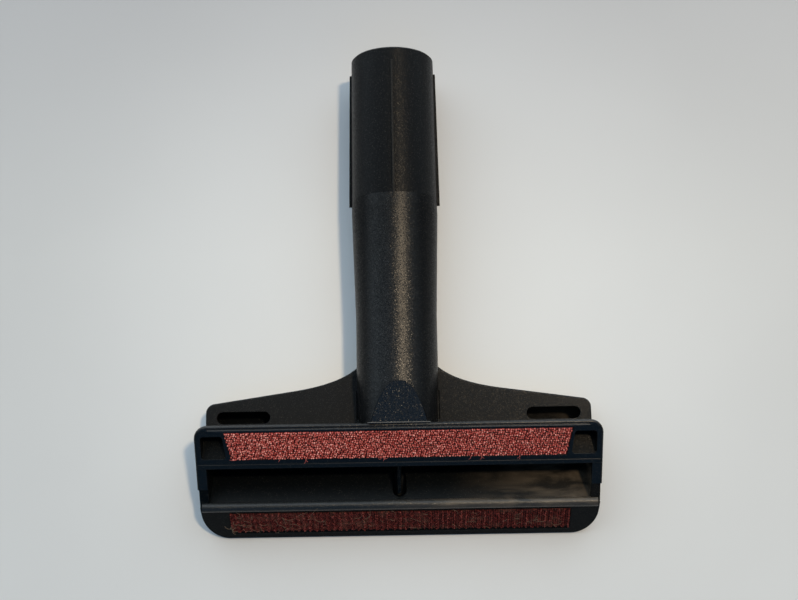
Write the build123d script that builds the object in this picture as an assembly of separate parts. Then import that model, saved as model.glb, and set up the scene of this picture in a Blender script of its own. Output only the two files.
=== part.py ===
from build123d import *
import math
import os

# A wide upholstery nozzle for a vacuum cleaner: a straight tube with a socket for the wand, which
# spreads behind a slanted sole into a flat fishtail. The sole has a long suction slot between two
# lands, and each land carries a velour lint strip in a shallow recess. The body is one moulding.
#
# Sizes are in millimetres. The origin is the centre of the socket's mouth. +Y runs along the tube
# and out of the mouth, +X runs along the slot, and +Z is up, with the nozzle lying on its back
# and its sole facing up. Places along the head are given as a distance "back" from the rim
# towards the mouth (the fishtail) or "down" from the rim towards the front edge (the sole).

# Tube and socket
TUBE_LENGTH = 179.0
SOCKET_BORE_RADIUS = 17.5
SOCKET_DEPTH = 60.0
SOCKET_LENGTH = 71.5
MOUTH_WALL = 2.8
SOCKET_ROOT_WALL = 3.3
COLLAR_STEP = 0.15
COLLAR_LENGTH = 7.0
TAPER_LENGTH = 50.0
SHOULDER = 0.8
NECK_WALL = 2.8
MOUTH_ROUND = 0.8

# Guide ribs outside the socket
RIB_THICKNESS = 1.0
RIB_START = 7.0
RIB_PAST_SOCKET = 2.5
RIB_START_HEIGHT = 1.0
RIB_END_HEIGHT = 1.4

# Walls
SHELL_WALL = 2.2
LAND_PLATE = 2.4
END_WALL = 5.0

# Head and sole
HEAD_WIDTH = 190.9
RIM_BELOW_TUBE_TOP = 7.1
SOLE_SLOPE = 21.0
UPPER_LAND = 20.3
SLOT_WIDTH = 16.3
LOWER_LAND_RUN = 14.1
FRONT_LIP = 1.3
RIM_CORNER = 6.2
RIM_ROUND = 1.1
FRONT_CORNER = 11.5
BACK_ROUND = 4.0
NOTCH_SHARE = 0.6
NOTCH_INSET = 0.7
NOTCH_DROP = 0.7
BEAD_RADIUS = 2.3
BEAD_PROUD = 1.0
BEAD_SETBACK = 0.3
BEAD_END_GAP = 1.0

# Trim lines on the sole: grooves inside the rim and at the facet, a lip over the slot and a
# rail under the lower strip
SEAM_DOWN = 1.5
SEAM_WIDTH = 1.1
SEAM_FLAT = 0.3
SEAM_DEPTH = 0.6
SEAM_END_GAP = 6.5
FACET_DROP = 0.6
FACET_SEAM = 0.5
FACET_SEAM_DEPTH = 0.9
LIP_WIDTH = 1.9
LIP_PROUD = 0.35
RAIL_GAP = 0.9
RAIL_WIDTH = 0.8
RAIL_PROUD = 0.45

# Fishtail behind the rim
WING_BELOW_AXIS = 4.5
WING_INSET = 2.5
WING_END_BACK = 9.8
WING_STRAIGHT_OUT = 30.65
WING_STRAIGHT_BACK = 15.9
WING_MID_OUT = 11.35
WING_MID_BACK = 20.4
WING_ROOT_IN = 0.85
WING_ROOT_BACK = 27.5
WING_CORNER = 4.5
WING_ROUND = 0.8
FAIRING_LENGTH = 34.0
FAIRING_OVERLAP = 4.0
FAIRING_SQUARENESS = 0.88

# Vents in the fishtail
VENT_LENGTH = 25.9
VENT_WIDTH = 5.8
VENT_END_GAP = 5.3
VENT_BACK = 3.4

# Ramp under the slot
RAMP_LIP = 3.2
RAMP_SLOPE = 28.5

# Thin rib across the middle of the slot, and the round-ended well in the ramp that it stands in
CENTRE_RIB = 1.7
CENTRE_RIB_SINK = 1.4
CENTRE_RIB_ROOT = 2.0
CENTRE_RIB_SETBACK = 3.3
WELL_WIDTH = 6.4
WELL_SETBACK = 1.5
WELL_LENGTH = 12.0
WELL_DEPTH = 9.8
WELL_WALL = 1.6

# Lint strips and their recesses
STRIP_THICKNESS = 2.0
RECESS_DEPTH = 1.0
STRIP_CLEARANCE = 0.15
UPPER_STRIP_MARGIN_TOP = 3.9
UPPER_STRIP_MARGIN_FOOT = 4.5
UPPER_STRIP_END_GAP = 14.2
UPPER_STRIP_TAPER = 3.0
LOWER_STRIP_MARGIN_TOP = 1.7
LOWER_STRIP_MARGIN_FOOT = 5.3
LOWER_STRIP_END_GAP = 14.2
LOWER_STRIP_FLARE = 0.5

# Blind pockets at the ends of the upper land
POCKET_MARGIN_TOP = 5.2
POCKET_MARGIN_FOOT = 4.6
POCKET_OUTER_WALL = 3.0
POCKET_WEB_TOP = 0.9
POCKET_WEB_FOOT = 2.5
POCKET_FOOT_DEPTH = 1.9
POCKET_SLOPE = 14.0
POCKET_FLOOR = 2.0
POCKET_TUB_WALL = 1.6
POCKET_CORNER = 1.4

# Sizes that follow from the ones above
HALF_HEAD = HEAD_WIDTH / 2
SLOPE = math.tan(math.radians(SOLE_SLOPE))
SLOPE_COS = math.cos(math.radians(SOLE_SLOPE))
MOUTH_RADIUS = SOCKET_BORE_RADIUS + MOUTH_WALL
SOCKET_ROOT_RADIUS = SOCKET_BORE_RADIUS + SOCKET_ROOT_WALL
COLLAR_RADIUS = SOCKET_ROOT_RADIUS + COLLAR_STEP
DUCT_BORE_RADIUS = SOCKET_BORE_RADIUS - SHOULDER
NECK_RADIUS = DUCT_BORE_RADIUS + NECK_WALL
RIM_HEIGHT = NECK_RADIUS - RIM_BELOW_TUBE_TOP
TABLE_Z = -COLLAR_RADIUS
SLOT_TOP = UPPER_LAND
SLOT_BOTTOM = UPPER_LAND + SLOT_WIDTH
SLOT_HALF_LENGTH = HALF_HEAD - END_WALL
NOTCH_DOWN = SLOT_TOP + NOTCH_SHARE * SLOT_WIDTH
BEAD_DOWN = SLOT_BOTTOM + BEAD_RADIUS - BEAD_SETBACK
LAND_TOP_DOWN = BEAD_DOWN + BEAD_RADIUS * 0.9
FRONT_REACH = LAND_TOP_DOWN + LOWER_LAND_RUN
WING_HEIGHT = -WING_BELOW_AXIS
WING_HALF_WIDTH = HALF_HEAD - WING_INSET
VENT_X = WING_HALF_WIDTH - VENT_END_GAP - VENT_LENGTH / 2
UPPER_STRIP_HALF = HALF_HEAD - UPPER_STRIP_END_GAP
LOWER_STRIP_HALF = HALF_HEAD - LOWER_STRIP_END_GAP
POCKET_TOP = POCKET_MARGIN_TOP
POCKET_BOTTOM = UPPER_LAND - POCKET_MARGIN_FOOT
POCKET_OUTER = HALF_HEAD - POCKET_OUTER_WALL
POCKET_INNER_TOP = UPPER_STRIP_HALF + POCKET_WEB_TOP
POCKET_INNER_BOTTOM = UPPER_STRIP_HALF - UPPER_STRIP_TAPER + POCKET_WEB_FOOT
CENTRE_RIB_END = SLOT_BOTTOM - CENTRE_RIB_SETBACK
WELL_MIDDLE = SLOT_BOTTOM - WELL_SETBACK - WELL_LENGTH / 2
ROOM = 60.0


def y_back(distance):
    """Y of a place this far behind the rim, towards the socket's mouth."""
    return distance - TUBE_LENGTH


def y_down(distance):
    """Y of a place this far down the sole from the rim, away from the socket's mouth."""
    return -distance - TUBE_LENGTH


def sole_z(down):
    """Height of the plane that holds the upper land and the slot's edges."""
    return RIM_HEIGHT - SLOPE * down


def back_z(back):
    """Height of the back panel, which falls from the neck's underside to the table."""
    run = WING_ROOT_BACK + FRONT_REACH
    fall = COLLAR_RADIUS - NECK_RADIUS
    return -NECK_RADIUS - fall * (WING_ROOT_BACK - back) / run


BEAD_Z = sole_z(BEAD_DOWN) + BEAD_PROUD - BEAD_RADIUS
LAND_TOP_Z = BEAD_Z - BEAD_RADIUS * 0.2
LAND_FOOT_Z = TABLE_Z + FRONT_LIP
LAND_LENGTH = math.hypot(LAND_TOP_Z - LAND_FOOT_Z, LOWER_LAND_RUN)
LAND_SLOPE = math.degrees(math.atan2(LAND_TOP_Z - LAND_FOOT_Z, LOWER_LAND_RUN))
CEILING_DROP = (LAND_PLATE + RECESS_DEPTH) / SLOPE_COS
RAMP_TOP_Z = sole_z(SLOT_BOTTOM) - RAMP_LIP
RAMP_TAN = math.tan(math.radians(RAMP_SLOPE))
RAMP_COS = math.cos(math.radians(RAMP_SLOPE))
WELL_FLOOR_Z = RAMP_TOP_Z - WELL_DEPTH


def prism_across(points, half_width):
    """A side profile of (y, z) points, made as wide as the two half widths either side of X = 0."""
    face = Plane.YZ * make_face(Polyline(*points, close=True))
    return extrude(face, amount=half_width, both=True)


def prism_up(outline, low, high):
    """A plan outline, raised from one height to another."""
    return Pos(0, 0, low) * extrude(make_face(outline), amount=high - low)


def both_sides(solid):
    """A solid and its mirror image about the middle of the nozzle."""
    return solid + mirror(solid, about=Plane.YZ)


def plate_on(location, points, low, high):
    """A flat plate with an outline of (x, y) points, from low to high above a tilted plane."""
    face = make_face(Polyline(*points, close=True))
    return location * Pos(0, 0, low) * extrude(face, amount=high - low)


def tube():
    """The socket, its collar step, the taper and the neck, turned as one solid of revolution."""
    taper_start = SOCKET_LENGTH + COLLAR_LENGTH
    profile = Polyline(
        (0, 0),
        (MOUTH_RADIUS - MOUTH_ROUND, 0),
        (MOUTH_RADIUS, -MOUTH_ROUND),
        (SOCKET_ROOT_RADIUS, -SOCKET_LENGTH),
        (COLLAR_RADIUS, -SOCKET_LENGTH),
        (COLLAR_RADIUS, -taper_start),
        (NECK_RADIUS, -taper_start - TAPER_LENGTH),
        (NECK_RADIUS, y_down(SHELL_WALL)),
        (0, y_down(SHELL_WALL)),
        close=True,
    )
    return revolve(make_face(profile), axis=Axis.Y)


def guide_ribs():
    """Three thin ribs along the socket, at its two sides and its top, that stand out more inwards."""
    foot = SOCKET_BORE_RADIUS + MOUTH_WALL / 2
    end = SOCKET_LENGTH + RIB_PAST_SOCKET
    outline = Polyline(
        (foot, -RIB_START),
        (MOUTH_RADIUS + RIB_START_HEIGHT, -RIB_START),
        (SOCKET_ROOT_RADIUS + RIB_END_HEIGHT, -end),
        (foot, -end),
        close=True,
    )
    rib = extrude(make_face(outline), amount=RIB_THICKNESS / 2, both=True)
    return rib + Rot(0, -90, 0) * rib + Rot(0, 180, 0) * rib


def d_section(squareness, back):
    """The lower half of the tube's section, a half circle at 0.5523 and squarer towards 1."""
    reach = NECK_RADIUS * squareness
    right = Bezier((NECK_RADIUS, 0), (NECK_RADIUS, -reach), (reach, -NECK_RADIUS), (0, -NECK_RADIUS))
    left = Bezier((0, -NECK_RADIUS), (-reach, -NECK_RADIUS), (-NECK_RADIUS, -reach), (-NECK_RADIUS, 0))
    lid = Line((-NECK_RADIUS, 0), (NECK_RADIUS, 0))
    plane = Plane((0, y_back(back), 0), x_dir=(1, 0, 0), z_dir=(0, -1, 0))
    return plane * make_face([right, left, lid])


def fairing():
    """The tube's underside, which turns from round to square where it runs into the fishtail."""
    back = WING_ROOT_BACK - FAIRING_OVERLAP
    return loft([d_section(0.5523, back + FAIRING_LENGTH), d_section(FAIRING_SQUARENESS, back)])


def fishtail_outline(inset):
    """The fishtail's plan: a curve off the tube's side, a straight edge and a rounded end."""
    end_x = WING_HALF_WIDTH - inset
    end_y = y_back(WING_END_BACK - inset)
    root = (NECK_RADIUS - WING_ROOT_IN, y_back(WING_ROOT_BACK - inset))
    middle = (NECK_RADIUS + WING_MID_OUT, y_back(WING_MID_BACK - inset))
    straight = (NECK_RADIUS + WING_STRAIGHT_OUT, y_back(WING_STRAIGHT_BACK - inset))
    edge = Line(straight, (end_x, end_y))
    curve = Spline(root, middle, straight, tangents=[(0.72, -0.7), edge % 0])
    rest = Polyline((end_x, end_y), (end_x, y_down(8)), (0, y_down(8)), (0, root[1]), root)
    half = make_face([curve, edge, rest])
    corner = half.vertices().sort_by(Axis.X)[-2:].sort_by(Axis.Y)[-1]
    half = fillet(corner, max(WING_CORNER - inset, 1.0))
    return half + mirror(half, about=Plane.YZ)


def fishtail():
    """The flat, hollow wings on either side of the tube, behind the rim."""
    low = back_z(-FRONT_REACH)
    block = Pos(0, 0, low) * extrude(fishtail_outline(0), amount=WING_HEIGHT - low)
    below_back = prism_across(
        [
            (y_back(ROOM), back_z(ROOM)),
            (y_down(ROOM), back_z(-ROOM)),
            (y_down(ROOM), -ROOM),
            (y_back(ROOM), -ROOM),
        ],
        HEAD_WIDTH,
    )
    block -= below_back
    upper = block.faces().sort_by(Axis.Z)[-1]
    rims = upper.edges().filter_by(lambda edge: edge.center().Y > y_back(0.5))
    return fillet(rims, WING_ROUND)


def head_plan():
    """The head seen from above: small corners at the rim, large ones at the front, side notches."""
    narrow = HALF_HEAD - NOTCH_INSET
    half = Polyline(
        (0, y_back(0)),
        (HALF_HEAD, y_back(0)),
        (HALF_HEAD, y_down(NOTCH_DOWN)),
        (narrow, y_down(NOTCH_DOWN)),
        (narrow, y_down(FRONT_REACH)),
        (0, y_down(FRONT_REACH)),
        close=True,
    )
    face = make_face(half)
    outer = face.vertices().filter_by(lambda vertex: vertex.X > narrow - 0.1)
    face = fillet(outer.sort_by(Axis.Y)[-1], RIM_CORNER)
    outer = face.vertices().filter_by(lambda vertex: vertex.X > narrow - 0.1)
    face = fillet(outer.sort_by(Axis.Y)[0], FRONT_CORNER)
    return face + mirror(face, about=Plane.YZ)


def head_block():
    """The solid head: its side profile carried across and trimmed to its plan."""
    profile = [
        (y_back(0), back_z(0)),
        (y_back(0), RIM_HEIGHT),
        (y_down(BEAD_DOWN), sole_z(BEAD_DOWN)),
        (y_down(LAND_TOP_DOWN), LAND_TOP_Z),
        (y_down(FRONT_REACH), LAND_FOOT_Z),
        (y_down(FRONT_REACH), back_z(-FRONT_REACH)),
    ]
    block = prism_across(profile, HALF_HEAD)
    plan = Pos(0, 0, -ROOM) * extrude(head_plan(), amount=2 * ROOM)
    return block & plan


def rounded_back(shell):
    """The fishtail and the head together, with the back panel's side edges rounded off."""
    back = shell.faces().filter_by(lambda face: face.normal_at().Z < -0.9).sort_by(SortBy.AREA)[-1]
    root = y_back(WING_ROOT_BACK) - 0.5
    front = y_down(LAND_TOP_DOWN)
    sides = back.edges().filter_by(lambda edge: front < edge.center().Y < root)
    shell = fillet(sides, BACK_ROUND)
    rim = shell.edges().filter_by(on_rim)
    return fillet(rim, RIM_ROUND)


def on_rim(edge):
    """Whether an edge runs round the top of the rim, from one side notch to the other."""
    middle = edge.position_at(0.5)
    down = y_down(0) - middle.Y
    return down < NOTCH_DOWN - 0.5 and abs(middle.Z - sole_z(down)) < 0.01


def end_steps():
    """The shallow step in both end walls, from the notch down to the bead."""
    start = y_down(NOTCH_DOWN)
    stop = y_down(BEAD_DOWN)
    step = prism_across(
        [
            (start, sole_z(NOTCH_DOWN) - NOTCH_DROP),
            (start, ROOM),
            (stop, ROOM),
            (stop, sole_z(BEAD_DOWN) - NOTCH_DROP),
        ],
        HEAD_WIDTH,
    )
    return step


def slot_lip():
    """The low lip along the slot's upper edge, which stands a little over the land."""
    top = SLOT_TOP - LIP_WIDTH
    rise = LIP_PROUD / SLOPE_COS
    return prism_across(
        [
            (y_down(top), sole_z(top) - rise),
            (y_down(top), sole_z(top) + rise),
            (y_down(SLOT_TOP), sole_z(SLOT_TOP) + rise),
            (y_down(SLOT_TOP), sole_z(SLOT_TOP) - rise),
        ],
        HALF_HEAD - RIM_ROUND,
    )


def foot_rail():
    """The fine rail along the foot of the lower strip."""
    top = LAND_LENGTH - LOWER_STRIP_MARGIN_FOOT + RAIL_GAP
    outline = strip_outline(top, RAIL_WIDTH, LOWER_STRIP_HALF, LOWER_STRIP_HALF, 0)
    return plate_on(lower_land_plane(), outline, -RAIL_PROUD, RAIL_PROUD)


def seams():
    """The groove inside the rim, with its lower side sloped, and the one at the facet's foot."""
    floor = SEAM_DEPTH / SLOPE_COS
    flat = SEAM_DOWN + SEAM_FLAT
    foot = SEAM_DOWN + SEAM_WIDTH
    inside_rim = prism_across(
        [
            (y_down(SEAM_DOWN), sole_z(SEAM_DOWN) - floor),
            (y_down(SEAM_DOWN), RIM_HEIGHT),
            (y_down(foot), RIM_HEIGHT),
            (y_down(foot), sole_z(foot)),
            (y_down(flat), sole_z(flat) - floor),
        ],
        HALF_HEAD - SEAM_END_GAP,
    )
    low = RIM_HEIGHT - FACET_DROP - FACET_SEAM_DEPTH
    at_facet = prism_across(
        [
            (y_back(0), low),
            (y_back(0), RIM_HEIGHT),
            (y_back(FACET_SEAM), RIM_HEIGHT),
            (y_back(FACET_SEAM), low),
        ],
        NECK_RADIUS,
    )
    return inside_rim + at_facet


def bead():
    """The rounded lip along the slot's lower edge."""
    half_length = HALF_HEAD - NOTCH_INSET - BEAD_END_GAP
    plane = Plane((-half_length, y_down(BEAD_DOWN), BEAD_Z), z_dir=(1, 0, 0))
    return extrude(plane * Circle(BEAD_RADIUS), amount=2 * half_length)


def facet_cut():
    """What the flat facet takes off the top of the tube, in line with the sole."""
    drop = FACET_DROP / SLOPE_COS
    end = 2 * SHELL_WALL
    return prism_across(
        [
            (y_down(end), sole_z(end) - drop),
            (y_back(ROOM), sole_z(-ROOM) - drop),
            (y_back(ROOM), 2 * ROOM),
            (y_down(end), 2 * ROOM),
        ],
        NECK_RADIUS + 1,
    )


def above_ceiling():
    """The space over the underside of the upper land, which the air way stays below."""
    return prism_across(
        [
            (y_down(SLOT_TOP), sole_z(SLOT_TOP) - CEILING_DROP),
            (y_back(ROOM), sole_z(-ROOM) - CEILING_DROP),
            (y_back(ROOM), 2 * ROOM),
            (y_down(SLOT_TOP), 2 * ROOM),
        ],
        HEAD_WIDTH,
    )


def air_way():
    """The hollow inside: the socket, the duct, the fishtail chamber and the slot with its ramp."""
    mouth = Plane((0, 1, 0), z_dir=(0, -1, 0))
    socket = extrude(mouth * Circle(SOCKET_BORE_RADIUS), amount=SOCKET_DEPTH + 1)
    floor = back_z(0) + SHELL_WALL
    ramp_foot = SLOT_BOTTOM - (RAMP_TOP_Z - floor) / RAMP_TAN
    duct = extrude(mouth * Circle(DUCT_BORE_RADIUS), amount=1 + TUBE_LENGTH + ramp_foot)
    wings = extrude(fishtail_outline(SHELL_WALL), amount=WING_HEIGHT - SHELL_WALL - floor)
    wings = Pos(0, 0, floor) * wings
    chamber = prism_across(
        [
            (y_down(SHELL_WALL), floor),
            (y_down(SHELL_WALL), ROOM),
            (y_down(SLOT_BOTTOM), ROOM),
            (y_down(SLOT_BOTTOM), RAMP_TOP_Z),
            (y_down(ramp_foot), floor),
        ],
        SLOT_HALF_LENGTH,
    )
    return socket + ((duct + wings + chamber) - above_ceiling())


def nose_hollow():
    """The closed hollow in the nose, between the ramp, the lower land, the back and the well."""
    floor = back_z(-FRONT_REACH) + SHELL_WALL
    ramp_drop = SHELL_WALL / RAMP_COS
    ramp_foot = SLOT_BOTTOM - (RAMP_TOP_Z - ramp_drop - floor) / RAMP_TAN
    land_drop = (LAND_PLATE + RECESS_DEPTH) / math.cos(math.radians(LAND_SLOPE))
    land_tan = math.tan(math.radians(LAND_SLOPE))
    land_foot = LAND_TOP_DOWN + (LAND_TOP_Z - land_drop - floor) / land_tan
    hollow = prism_across(
        [
            (y_down(ramp_foot), floor),
            (y_down(SLOT_BOTTOM), RAMP_TOP_Z - ramp_drop),
            (y_down(LAND_TOP_DOWN), LAND_TOP_Z - land_drop),
            (y_down(land_foot), floor),
        ],
        SLOT_HALF_LENGTH - FRONT_CORNER / 2,
    )
    return hollow - well(WELL_WALL, TABLE_Z)


def pocket_outline(grow):
    """One pocket's four corners in plan, grown outwards for the tub that holds it."""
    return [
        (POCKET_INNER_TOP - grow, y_down(POCKET_TOP - grow)),
        (POCKET_OUTER, y_down(POCKET_TOP - grow)),
        (POCKET_OUTER, y_down(POCKET_BOTTOM + grow)),
        (POCKET_INNER_BOTTOM - grow, y_down(POCKET_BOTTOM + grow)),
    ]


def under_pocket(drop):
    """All that lies under a pocket's floor, which rises towards the slot."""
    rise = math.tan(math.radians(POCKET_SLOPE))
    foot = sole_z(POCKET_BOTTOM) - POCKET_FOOT_DEPTH - drop
    reach = POCKET_BOTTOM + 2 * POCKET_TUB_WALL
    return prism_across(
        [
            (y_down(reach), foot + rise * (reach - POCKET_BOTTOM)),
            (y_back(0), foot - rise * POCKET_BOTTOM),
            (y_back(0), -ROOM),
            (y_down(reach), -ROOM),
        ],
        HEAD_WIDTH,
    )


def pocket_tub():
    """The walls and floor that hold one pocket under the land, cut off at the land's plane."""
    outline = Polyline(*pocket_outline(POCKET_TUB_WALL), close=True)
    block = prism_up(outline, TABLE_Z, RIM_HEIGHT)
    return block - above_sole() - under_pocket(POCKET_FLOOR)


def pocket_hollow():
    """One pocket's own hollow, with rounded corners and a sloped floor."""
    hollow = prism_up(Polyline(*pocket_outline(0), close=True), TABLE_Z, ROOM)
    hollow = fillet(hollow.edges().filter_by(Axis.Z), POCKET_CORNER)
    return hollow - under_pocket(0)


def above_sole():
    """Everything over the plane of the upper land and the slot."""
    return prism_across(
        [
            (y_back(ROOM), sole_z(-ROOM)),
            (y_down(ROOM), sole_z(ROOM)),
            (y_down(ROOM), 2 * ROOM),
            (y_back(ROOM), 2 * ROOM),
        ],
        HEAD_WIDTH,
    )


def vents():
    """The two bleed vents, slots with round ends through the fishtail's upper wall."""
    slot = extrude(SlotOverall(VENT_LENGTH, VENT_WIDTH), amount=2 * SHELL_WALL, both=True)
    return both_sides(Pos(VENT_X, y_back(VENT_BACK), WING_HEIGHT) * slot)


def well(grow, low):
    """The round-ended well in the ramp, or with a wall's growth the boss that holds it."""
    plan = Rot(0, 0, 90) * SlotOverall(WELL_LENGTH + 2 * grow, WELL_WIDTH + 2 * grow)
    return Pos(0, y_down(WELL_MIDDLE), low) * extrude(plan, amount=RAMP_TOP_Z - low)


def centre_rib():
    """The thin rib across the middle of the slot, down to the floor of its well."""
    foot = WELL_FLOOR_Z - SHELL_WALL / 4
    root = SLOT_TOP - CENTRE_RIB_ROOT
    return prism_across(
        [
            (y_down(root), sole_z(root) - CENTRE_RIB_SINK),
            (y_down(CENTRE_RIB_END), sole_z(CENTRE_RIB_END) - CENTRE_RIB_SINK),
            (y_down(CENTRE_RIB_END), foot),
            (y_down(root), foot),
        ],
        CENTRE_RIB / 2,
    )


def upper_land_plane():
    """A plane on the upper land: x along the slot, y up the slope towards the rim."""
    return Plane((0, y_back(0), RIM_HEIGHT), x_dir=(1, 0, 0), z_dir=(0, -SLOPE, 1))


def lower_land_plane():
    """A plane on the lower land, from its top edge under the bead."""
    rise = math.tan(math.radians(LAND_SLOPE))
    origin = (0, y_down(LAND_TOP_DOWN), LAND_TOP_Z)
    return Plane(origin, x_dir=(1, 0, 0), z_dir=(0, -rise, 1))


def strip_outline(top, depth, half_top, half_foot, grow):
    """A lint strip's outline on its land, from its upper edge down to its lower one."""
    return [
        (-half_top - grow, -top + grow),
        (half_top + grow, -top + grow),
        (half_foot + grow, -top - depth - grow),
        (-half_foot - grow, -top - depth - grow),
    ]


def upper_strip(grow, low, high):
    """The upper lint strip, or its recess where grow is the clearance round it."""
    depth = UPPER_LAND / SLOPE_COS - UPPER_STRIP_MARGIN_TOP - UPPER_STRIP_MARGIN_FOOT
    foot = UPPER_STRIP_HALF - UPPER_STRIP_TAPER
    outline = strip_outline(UPPER_STRIP_MARGIN_TOP, depth, UPPER_STRIP_HALF, foot, grow)
    return plate_on(upper_land_plane(), outline, low, high)


def lower_strip(grow, low, high):
    """The lower lint strip, or its recess where grow is the clearance round it."""
    depth = LAND_LENGTH - LOWER_STRIP_MARGIN_TOP - LOWER_STRIP_MARGIN_FOOT
    foot = LOWER_STRIP_HALF + LOWER_STRIP_FLARE
    outline = strip_outline(LOWER_STRIP_MARGIN_TOP, depth, LOWER_STRIP_HALF, foot, grow)
    return plate_on(lower_land_plane(), outline, low, high)


def nozzle_body():
    """The one-piece moulding."""
    body = tube() - facet_cut()
    body += fairing()
    body += rounded_back(fishtail() + head_block()) - end_steps()
    body += bead()
    body += slot_lip()
    body += foot_rail()
    body += guide_ribs()
    body -= air_way()
    body -= nose_hollow()
    body -= well(0, WELL_FLOOR_Z)
    body += centre_rib()
    body += both_sides(pocket_tub())
    body -= both_sides(pocket_hollow())
    body -= vents()
    body -= seams()
    body -= upper_strip(STRIP_CLEARANCE, -RECESS_DEPTH, STRIP_THICKNESS)
    body -= lower_strip(STRIP_CLEARANCE, -RECESS_DEPTH, STRIP_THICKNESS)
    return body


def lint_strips():
    """The two velour strips, each lying on the floor of its recess."""
    top = STRIP_THICKNESS - RECESS_DEPTH
    return {
        "upper_lint_strip": upper_strip(0, -RECESS_DEPTH, top),
        "lower_lint_strip": lower_strip(0, -RECESS_DEPTH, top),
    }


os.makedirs("parts", exist_ok=True)
pieces = {"nozzle_body": nozzle_body(), **lint_strips()}
for name, piece in pieces.items():
    export_step(piece, f"parts/{name}.step")
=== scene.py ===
import bpy
import math
import random
from mathutils import Matrix, Vector, noise


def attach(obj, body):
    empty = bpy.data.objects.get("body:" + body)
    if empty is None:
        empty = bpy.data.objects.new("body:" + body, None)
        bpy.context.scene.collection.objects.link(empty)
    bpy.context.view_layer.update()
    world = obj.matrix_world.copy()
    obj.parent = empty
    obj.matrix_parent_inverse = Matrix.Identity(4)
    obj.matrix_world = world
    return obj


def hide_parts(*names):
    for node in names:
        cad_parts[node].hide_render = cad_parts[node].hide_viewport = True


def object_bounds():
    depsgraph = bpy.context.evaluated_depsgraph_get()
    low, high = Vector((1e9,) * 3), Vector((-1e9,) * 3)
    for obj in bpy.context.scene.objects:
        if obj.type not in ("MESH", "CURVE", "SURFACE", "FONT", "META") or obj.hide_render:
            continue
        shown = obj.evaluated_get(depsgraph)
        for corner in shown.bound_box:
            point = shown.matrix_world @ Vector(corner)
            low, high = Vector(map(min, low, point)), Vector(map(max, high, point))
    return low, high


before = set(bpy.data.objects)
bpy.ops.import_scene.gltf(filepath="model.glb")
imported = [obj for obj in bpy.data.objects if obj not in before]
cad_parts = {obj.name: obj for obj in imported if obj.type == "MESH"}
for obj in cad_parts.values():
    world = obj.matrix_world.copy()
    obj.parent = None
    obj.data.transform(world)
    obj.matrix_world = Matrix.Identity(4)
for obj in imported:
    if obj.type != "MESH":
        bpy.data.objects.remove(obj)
cad_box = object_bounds()


# The view. The nozzle was photographed from close above, a little over the rim, so that the tube
# runs away upwards in the picture and its mouth is seen from behind.
PICTURE_WIDTH = 798
FOCAL_PIXELS = 927.0
SENSOR_WIDTH = 36.0
NEAREST_SEEN = 0.01
CAMERA_PLACE = (0.00528, -0.17829, 0.44533)
CAMERA_PITCH = 0.12971
CAMERA_YAW = -0.00868
CAMERA_ROLL = 0.01898

ahead = Vector((0, math.sin(CAMERA_PITCH), -math.cos(CAMERA_PITCH)))
over = Vector((0, math.cos(CAMERA_PITCH), math.sin(CAMERA_PITCH)))
aside = Vector((1, 0, 0))
forward = math.cos(CAMERA_YAW) * ahead + math.sin(CAMERA_YAW) * aside
level = math.cos(CAMERA_YAW) * aside - math.sin(CAMERA_YAW) * ahead
upward = math.cos(CAMERA_ROLL) * over + math.sin(CAMERA_ROLL) * level
right = math.cos(CAMERA_ROLL) * level - math.sin(CAMERA_ROLL) * over
turn = Matrix((right, upward, -forward)).transposed()

bpy.ops.object.camera_add(location=CAMERA_PLACE, rotation=turn.to_euler())
camera = bpy.context.object
camera.name = "camera_from_above"
camera.data.sensor_fit = "HORIZONTAL"
camera.data.sensor_width = SENSOR_WIDTH
camera.data.lens = FOCAL_PIXELS / PICTURE_WIDTH * SENSOR_WIDTH
camera.data.clip_start = NEAREST_SEEN
bpy.context.scene.camera = camera
bpy.context.scene.view_settings.view_transform = "Standard"


# The light. A warm lamp overhead and to the right throws the soft blue-grey shadow on the left.
# The rest of the light is cool and comes from windows at the far side; the ceiling is dim, and a
# dark blue patch of it hangs over the near side.
LAMP_AIM = Vector((0.0, -0.13, 0.0))
LAMP_DIRECTION = Vector((0.30, 0.20, 0.93))
LAMP_DISTANCE = 1.5
LAMP_SIZE = 0.13
LAMP_POWER = 9.55
LAMP_COLOR = (1.0, 0.785, 0.53)
WINDOW_SIDE = (-0.10, 0.95, -0.25)
WALLS_FROM = -0.20
WALLS_TO = 0.60
DIM_WALL = (0.10, 0.14, 0.17)
BRIGHT_WALL = (1.62, 1.87, 2.06)
BLUE_SIDE = (0.0, -0.66, 0.75)
BLUE_FROM = 0.78
BLUE_TO = 0.96
BLUE_COLOR = (0.02, 0.14, 0.32)

lamp_place = LAMP_AIM + LAMP_DISTANCE * LAMP_DIRECTION
bpy.ops.object.light_add(type="AREA", location=lamp_place)
lamp = bpy.context.object
lamp.name = "warm_lamp"
lamp.rotation_euler = LAMP_DIRECTION.to_track_quat("Z", "Y").to_euler()
lamp.data.shape = "DISK"
lamp.data.size = LAMP_SIZE
lamp.data.energy = LAMP_POWER
lamp.data.color = LAMP_COLOR

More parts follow.
